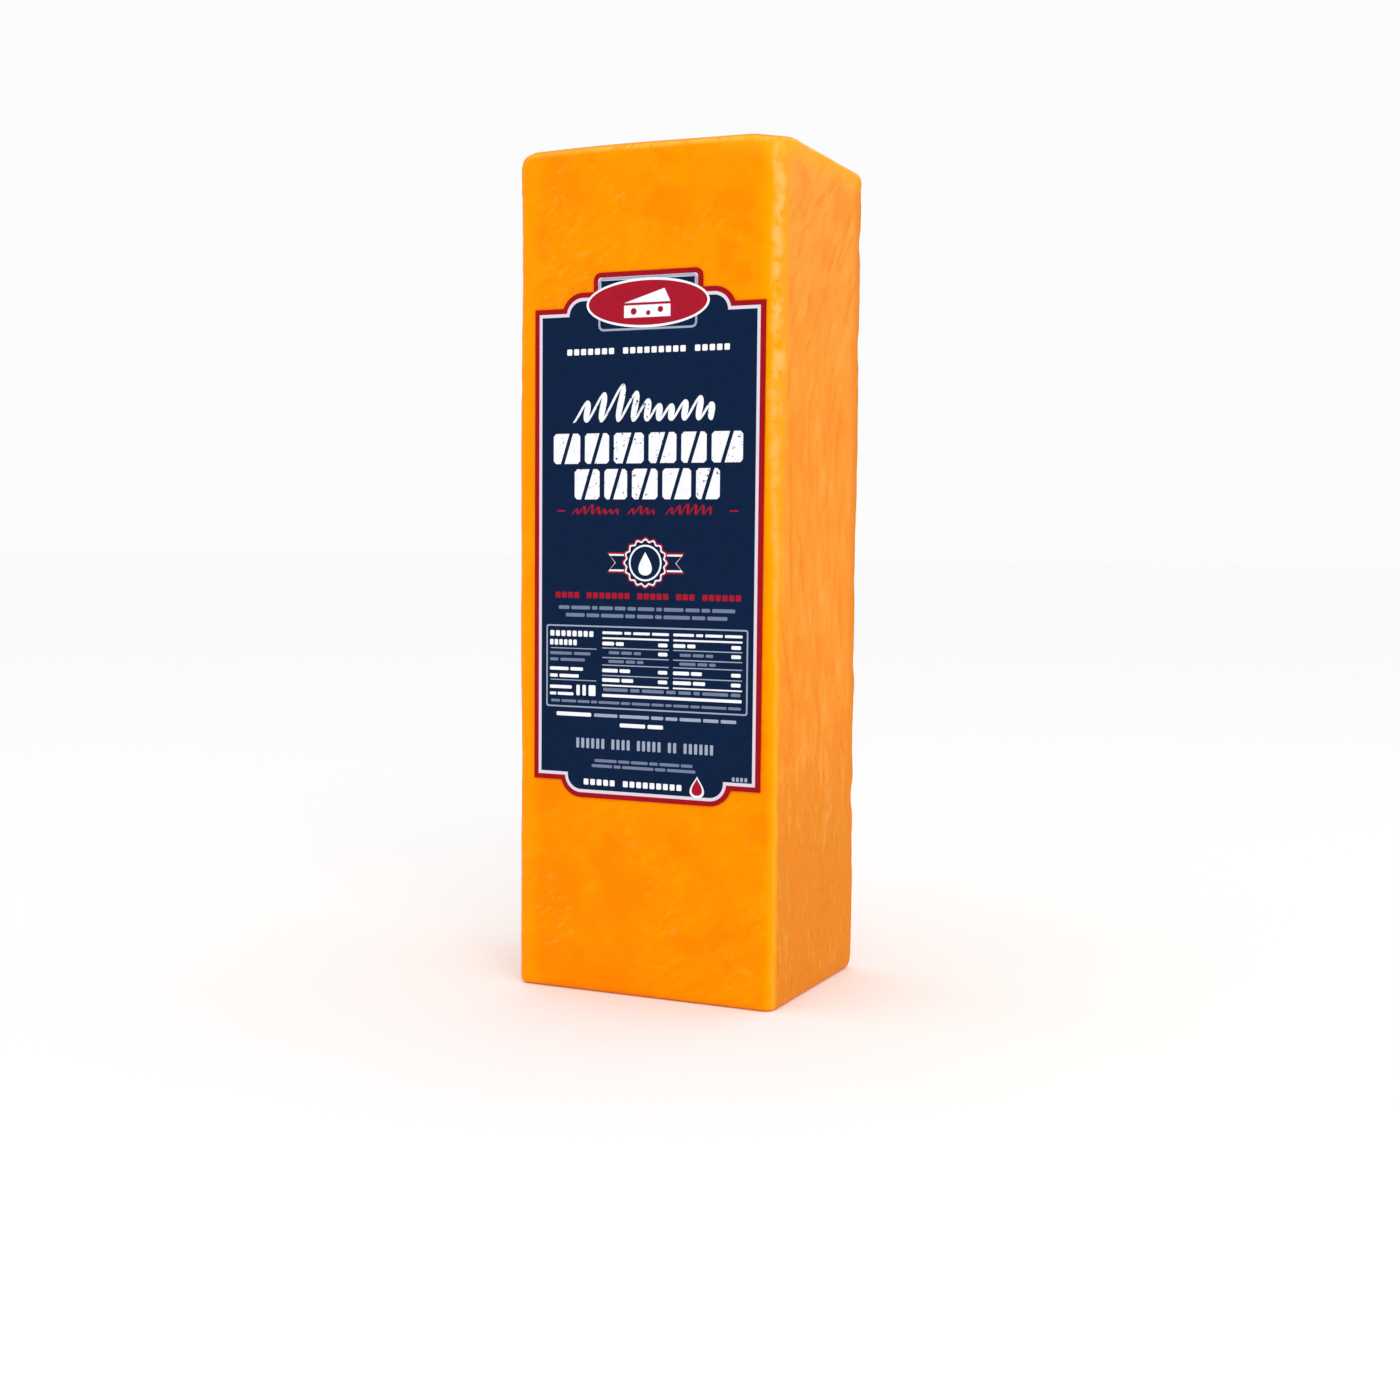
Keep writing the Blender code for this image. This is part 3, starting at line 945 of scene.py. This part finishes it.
def printed_ink(name, rgb, below=None):
    """Offset ink on coated paper: an even film, with a faint mottle and a soft satin sheen.

    Where the colour below it is given, small specks of the film are worn through to that.
    """
    material, tree, shader, place = new_material(name)
    mottle = add(tree, "TexNoise", {"Vector": place, **MOTTLE})
    thin = opaque([min(v * 1.10 + 0.0006, 1.0) for v in rgb])
    cover = add(tree, "MapRange", {0: mottle, 1: 0.35, 2: 0.65})
    shade = add(tree, "Mix", {0: cover, 6: opaque(rgb), 7: thin}, **COLOURS)
    if below:
        cluster = add(tree, "TexNoise", {"Vector": place, **WORN_PATCHES})
        speck = add(tree, "TexNoise", {"Vector": place, **PINHOLES})
        worn = (below, 1.0, (cluster, 0.46, 0.60), (speck, 0.61, 0.66))
        shade = lay_over(tree, shade, [worn])
    tree.links.new(shade, shader.inputs["Base Color"])
    sheen = add(tree, "MapRange", {0: mottle, 1: 0.3, 2: 0.7, 3: 0.46, 4: 0.56})
    tree.links.new(sheen, shader.inputs["Roughness"])
    bump = add(tree, "Bump", {"Strength": 0.2, "Distance": 0.01 * MM, "Height": mottle})
    tree.links.new(bump, shader.inputs["Normal"])
    shader.inputs["Specular IOR Level"].default_value = 0.03
    return material


class CHEDDAR_OT_label(bpy.types.Operator):
    """Model the label's paper, its red rim and its dark blue field"""

    bl_idname = "cheddar.label"
    bl_label = "Label"

    def execute(self, context):
        settings = context.scene.cheddar_label
        # The paper lies on the cheese, so it reaches back across the gap to it.
        begin()
        front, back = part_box("label")[0].y, -DEPTH / 2 + PAPER_SEAT
        rim = settings.rim / MM
        flat_shape("label_paper", [label_outline(rim / 2)], front, back)
        finish_piece(one_solid("label_paper", coated_paper(settings)), "label_print", "label")
        # The rim is printed to the very edge, so it also closes the paper's sides.
        begin()
        red = printed_ink("offset_ink_red", settings.red)
        edges = [label_outline(0.0), label_outline(rim)]
        flat_shape("label_rim", edges, front - settings.layer, back)
        finish_piece(one_solid("label_rim", red), "label_print")
        blue = printed_ink("offset_ink_blue", settings.field)
        ink("label_field", [(1, [label_outline(rim + settings.line / MM)])], blue, settings)
        return {"FINISHED"}


class CHEDDAR_OT_emblem(bpy.types.Operator):
    """Print the crest's frame and, in it, an oval with a wedge of cheese"""

    bl_idname = "cheddar.emblem"
    bl_label = "Emblem"

    def execute(self, context):
        settings = context.scene.cheddar_label
        white = printed_ink("offset_ink_white_emblem", settings.white)
        grey = printed_ink("offset_ink_grey_frame", settings.grey)
        red = printed_ink("offset_ink_bright_red", settings.emblem)
        outer = rounded_rectangle(0.0, 0.75, 35.8, 17.3, 1.8)
        inner = rounded_rectangle(0.0, 0.75, 34.4, 15.9, 1.2)
        ink("crest_frame", [(2, [outer, inner])], grey, settings)
        ink("emblem_edge", [(3, [ellipse(0.0, 0.8, 22.3, 8.0, 72)])], white, settings)
        ink("emblem_oval", [(4, [ellipse(0.0, 0.8, 21.5, 7.2, 72)])], red, settings)
        ink("emblem_wedge", [(5, self.wedge())], white, settings)
        return {"FINISHED"}

    def wedge(self):
        """A wedge of cheese seen from the side: its top, and its front with round holes."""
        top = [(-8.4, 0.9), (6.2, 5.2), (8.4, 0.9)]
        front = [(-8.4, 0.1), (8.4, 0.1), (8.4, -3.9), (-8.4, -3.9)]
        holes = ((-4.9, -1.9, 1.1), (0.4, -2.5, 0.8), (4.8, -1.5, 1.0))
        return [top, front, *[ellipse(u, v, radius, radius, 20) for u, v, radius in holes]]


class CHEDDAR_OT_title(bpy.types.Operator):
    """Print the title: a brush-drawn wave over two rows of split blocks"""

    bl_idname = "cheddar.title"
    bl_label = "Title"

    def execute(self, context):
        settings = context.scene.cheddar_label
        white = printed_ink("offset_ink_white_small_title", settings.white)
        worn = printed_ink("offset_ink_white_title", settings.white, settings.field)
        red = printed_ink("offset_ink_red_script", settings.emblem)
        rows = [
            *split_blocks(0.0, -46.2, 69.0, 10.0, (1.0, 0.9, 1.1, 1.0, 0.9, 1.1), 1.8),
            *split_blocks(0.0, -58.0, 53.0, 10.0, (1.0, 0.9, 1.0, 1.1, 0.9), 1.8),
        ]
        heights = (7.2, 9.8, 12.4, 10.0, 7.4, 5.8, 5.6, 6.8, 8.0, 5.9)
        down, up = brush_wave(-27.0, -37.6, heights, 4.1, 0.40, 2.3, 0.75)
        ink("title_small", [(2, [*blocks(0.0, -14.4, 59.0, 2.0, (7, 9, 5))])], white, settings)
        ink("title_blocks", [(2, rows)], worn, settings)
        ink("title_brush", [(2, down), (3, up)], worn, settings)
        script = self.script()
        ink("title_script", [(2, script[0]), (3, script[1])], red, settings)
        return {"FINISHED"}

    def script(self):
        """Three small waves between two short dashes."""
        down, up = [], []
        for u, heights in (
            (-27.6, (2.0, 2.8, 3.4, 2.6, 1.9, 1.8, 1.9)),
            (-6.8, (2.1, 3.0, 2.3, 1.7)),
            (7.2, (2.4, 3.1, 3.6, 3.4, 3.2, 2.7)),
        ):
            heavy, light = brush_wave(u, -68.0, heights, 2.5, 0.40, 0.85, 0.40)
            down += heavy
            up += light
        for side in (-1, 1):
            down.append(rounded_rectangle(side * 31.6, -66.8, 3.0, 0.5, 0.2))
        return down, up


class CHEDDAR_OT_seal(bpy.types.Operator):
    """Print a plain rosette with ribbon tails and a drop of milk"""

    bl_idname = "cheddar.seal"
    bl_label = "Seal"

    def execute(self, context):
        settings = context.scene.cheddar_label
        red = printed_ink("offset_ink_red_seal", settings.emblem)
        white = printed_ink("offset_ink_white_seal", settings.white)
        blue = printed_ink("offset_ink_blue_seal", settings.field)
        middle = -83.9
        rings = [ellipse(0.0, middle, 6.0, 6.0), ellipse(0.0, middle, 5.4, 5.4)]
        for name, material, level, inset in (
            ("seal_red", red, 2, 0.0),
            ("seal_line", white, 3, 0.55),
            ("seal_blue", blue, 4, 1.15),
        ):
            round_shape = rosette(0.0, middle, 8.2 - inset, 0.4, 16)
            levels = [(level, [self.ribbon(middle, inset)]), (level + 3, [round_shape])]
            ink(name, levels, material, settings)
        ink("seal_drop", [(8, [*rings, drop(0.0, middle - 0.2, 3.5, 3.9)])], white, settings)
        return {"FINISHED"}

    def ribbon(self, middle, inset):
        """A ribbon with forked ends, drawn in by some millimetres."""
        end, fork, half = 14.2 - inset, 11.4 - inset * 0.4, 3.4 - inset
        right = [(end, middle + half), (fork, middle), (end, middle - half)]
        return right + [(-u, 2 * middle - v) for u, v in right]


class CHEDDAR_OT_small_print(bpy.types.Operator):
    """Print the ruled table and the lines of small blocks and bars"""

    bl_idname = "cheddar.small_print"
    bl_label = "Small print"

    def execute(self, context):
        settings = context.scene.cheddar_label
        white = printed_ink("offset_ink_white_small", settings.white)
        grey = printed_ink("offset_ink_grey_small", settings.grey)
        faint = printed_ink("offset_ink_faint_small", settings.faint)
        red = printed_ink("offset_ink_red_small", settings.emblem)
        ink("small_print_white", [(2, self.bold())], white, settings)
        ink("small_print_grey", [(2, self.light())], grey, settings)
        ink("small_print_faint", [(2, self.finest())], faint, settings)
        warning = [*blocks(0.4, -94.9, 68.0, 2.0, (4, 7, 5, 3, 6), 0.22)]
        ink("small_print_red", [(2, warning), (3, [drop(19.4, -157.2, 2.7, 2.8)])], red, settings)
        return {"FINISHED"}

    def bold(self):
        """Blocks, bars and rules in full white."""
        shapes = [
            rounded_rectangle(9.6, -128.3, 50.8, 1.0, 0.2),
            drop(19.4, -157.2, 3.7, 3.6),
            *blocks(-27.4, -107.9, 16.4, 1.9, (8,)),
            *blocks(-30.6, -110.9, 10.2, 1.9, (6,)),
            *bars(-29.4, -119.8, 12.6, 1.1, (6, 4), 0.7),
            *bars(-30.2, -122.2, 11.0, 1.1, (2, 5), 0.7),
            *bars(-31.5, -126.0, 8.4, 1.1, (1,), 0.0),
            *bars(-31.2, -128.3, 9.0, 1.0, (2, 5), 0.6),
            *bars(-26.5, -135.1, 13.2, 1.3, (1,), 0.0),
            *bars(-1.1, -138.1, 16.0, 1.3, (5, 3), 0.9),
            *blocks(-4.4, -157.8, 36.4, 2.0, (5, 9)),
        ]
        for u, width in ((-24.9, 1.3), (-22.6, 1.3), (-19.6, 2.6)):
            shapes.append(rounded_rectangle(u, -126.9, width, 3.6, 0.4))
        for left, right in TABLE_COLUMNS:
            middle, width = (left + right) / 2, right - left
            shapes += bars(middle, -107.3, width, 0.9, (6, 2, 5, 5), 0.8)
            shapes.append(rounded_rectangle(middle, -109.1, width, 0.6, 0.1))
            shapes.append(rounded_rectangle(middle, -124.9, width, 0.5, 0.1))
            for row, v in enumerate((-110.9, -113.9, -119.9, -123.1)):
                if row != 1:
                    shapes += bars(left + 4.0 + row * 0.6, v, 8.0 + row * 1.2, 1.2, (3, 2), 0.7)
                shapes.append(rounded_rectangle(right - 2.2, v, 3.4, 1.2, 0.4))
        return shapes

    def light(self):
        """The frame, hairlines and larger lines of thin lettering, in grey for their mean tone."""
        shapes = [
            rounded_rectangle(0.0, -118.9, 74.2, 27.8, 0.8),
            rounded_rectangle(0.0, -118.9, 73.2, 26.8, 0.5),
            rounded_rectangle(-26.7, -112.9, 17.4, 0.3, 0.05),
            rounded_rectangle(-26.7, -123.6, 17.4, 0.3, 0.05),
            *bars(7.2, -135.1, 52.0, 1.1, (8, 10, 4, 4, 7, 5, 5), 0.8),
            *blocks(-0.2, -144.7, 50.6, 3.4, (6, 4, 5, 2, 6), 0.42),
            *blocks(34.6, -153.8, 5.4, 1.4, (4,), 0.35),
        ]
        for left, right in TABLE_COLUMNS:
            for v in (-112.4, -115.6, -118.1, -121.6):
                shapes.append(rounded_rectangle((left + right) / 2, v, right - left, 0.35, 0.05))
        return shapes

    def finest(self):
        """The smallest lines, in the faint tone that such lettering has from a distance."""
        shapes = [
            *bars(-28.0, -114.6, 15.4, 1.0, (8, 6), 0.8),
            *bars(-29.0, -116.7, 13.2, 1.0, (3, 9), 0.8),
            *bars(9.6, -126.3, 50.0, 1.1, (8, 3, 7, 3, 4, 2, 8, 3), 0.9),
            *bars(-0.2, -130.7, 70.0, 0.9, (3, 5, 4, 2, 7, 3, 6, 4, 2, 5, 3, 8, 4), 0.6),
            *bars(0.0, -99.1, 64.8, 1.2, (4, 7, 2, 5, 4, 3, 6, 2, 7, 5, 3, 8), 0.7),
            *bars(0.0, -101.6, 59.4, 1.2, (6, 4, 7, 3, 5, 2, 8, 4, 6), 0.7),
            *bars(-0.4, -150.4, 36.2, 1.0, (8, 4, 6, 3, 7, 4), 0.6),
            *bars(-0.4, -152.2, 38.4, 1.0, (6, 2, 9, 3, 8), 0.6),
        ]
        for left, _ in TABLE_COLUMNS:
            shapes += bars(left + 8.4, -113.9, 12.0, 1.0, (3, 3, 2), 0.7)
            shapes += bars(left + 8.8, -116.8, 13.0, 1.0, (5, 3, 2), 0.7)
        return shapes


# The studio.


class CHEDDAR_OT_studio(bpy.types.Operator):
    """Set the pale floor, the soft lights and the camera"""

    bl_idname = "cheddar.studio"
    bl_label = "Studio"

    def execute(self, context):
        settings = context.scene.cheddar_studio
        self.floor(settings)
        self.lights(context, settings)
        self.camera(context, settings)
        context.scene.view_settings.view_transform = "Standard"
        context.scene.view_settings.look = "None"
        return {"FINISHED"}

    def floor(self, settings):
        """A broad pale floor."""
        begin()
        bpy.ops.mesh.primitive_plane_add(size=FLOOR_SIZE, location=(0.0, 0.0, 0.0))
        floor = bpy.context.object
        floor.name = floor.data.name = "studio_floor"
        material, tree, shader, place = new_material("matt_painted_board")
        grain = add(tree, "TexNoise", {"Vector": place, **ROLLER_GRAIN})
        darker = opaque([v * 0.99 for v in settings.floor])
        shade = add(tree, "Mix", {0: grain, 6: opaque(settings.floor), 7: darker}, **COLOURS)
        tree.links.new(shade, shader.inputs["Base Color"])
        shader.inputs["Roughness"].default_value = 0.8
        shader.inputs["Specular IOR Level"].default_value = 0.2
        floor.data.materials.append(material)

    def lights(self, context, settings):
        """An even white surround, and one large soft light at the right of the camera."""
        world = bpy.data.worlds.new("white_surround")
        context.scene.world = world
        world.use_nodes = True
        surround = world.node_tree.nodes["Background"]
        surround.inputs["Color"].default_value = (1.0, 1.0, 1.0, 1.0)
        surround.inputs["Strength"].default_value = settings.sky
        begin()
        bpy.ops.object.light_add(type="AREA", location=KEY_PLACE)
        key = bpy.context.object
        key.name = "key_light"
        key.data.shape = "DISK"
        key.data.size = KEY_SIZE
        key.data.energy = settings.key
        key.rotation_euler = (KEY_AIM - key.location).to_track_quat("-Z", "Y").to_euler()

    def camera(self, context, settings):
        """The photograph's own view."""
        begin()
        bpy.ops.object.camera_add(location=settings.camera_place)
        camera = bpy.context.object
        camera.name = "camera"
        turn = Matrix.Rotation(settings.camera_turn, 3, "Z")
        dip = Matrix.Rotation(pi / 2 - settings.camera_dip, 3, "X")
        roll = Matrix.Rotation(settings.camera_roll, 3, "Z")
        camera.rotation_euler = (turn @ dip @ roll).to_euler()
        camera.data.lens = settings.lens
        camera.data.sensor_width = 36.0
        camera.data.clip_start = 0.01
        context.scene.camera = camera


STEPS = (
    CHEDDAR_OT_loaf,
    CHEDDAR_OT_label,
    CHEDDAR_OT_emblem,
    CHEDDAR_OT_title,
    CHEDDAR_OT_seal,
    CHEDDAR_OT_small_print,
    CHEDDAR_OT_studio,
)
SETTINGS = (
    ("cheddar_loaf", LoafSettings),
    ("cheddar_label", LabelSettings),
    ("cheddar_studio", StudioSettings),
)


class CHEDDAR_PT_sidebar(bpy.types.Panel):
    """The steps that make the loaf, in order, and their sizes and colours"""

    bl_label = "Cheddar Loaf"
    bl_idname = "CHEDDAR_PT_sidebar"
    bl_space_type = "VIEW_3D"
    bl_region_type = "UI"
    bl_category = "Cheddar"

    def draw(self, context):
        for step in STEPS:
            self.layout.operator(step.bl_idname)
        for name, group in SETTINGS:
            box = self.layout.box()
            for key in group.__annotations__:
                box.prop(getattr(context.scene, name), key)


def register():
    for name, group in SETTINGS:
        bpy.utils.register_class(group)
        setattr(bpy.types.Scene, name, bpy.props.PointerProperty(type=group))
    for step in STEPS:
        bpy.utils.register_class(step)
    bpy.utils.register_class(CHEDDAR_PT_sidebar)


def unregister():
    bpy.utils.unregister_class(CHEDDAR_PT_sidebar)
    for step in reversed(STEPS):
        bpy.utils.unregister_class(step)
    for name, group in reversed(SETTINGS):
        delattr(bpy.types.Scene, name)
        bpy.utils.unregister_class(group)


def main():
    """Makes every piece in order."""
    register()
    bpy.ops.cheddar.loaf()
    bpy.ops.cheddar.label()
    bpy.ops.cheddar.emblem()
    bpy.ops.cheddar.title()
    bpy.ops.cheddar.seal()
    bpy.ops.cheddar.small_print()
    bpy.ops.cheddar.studio()


if __name__ == "__main__":
    main()
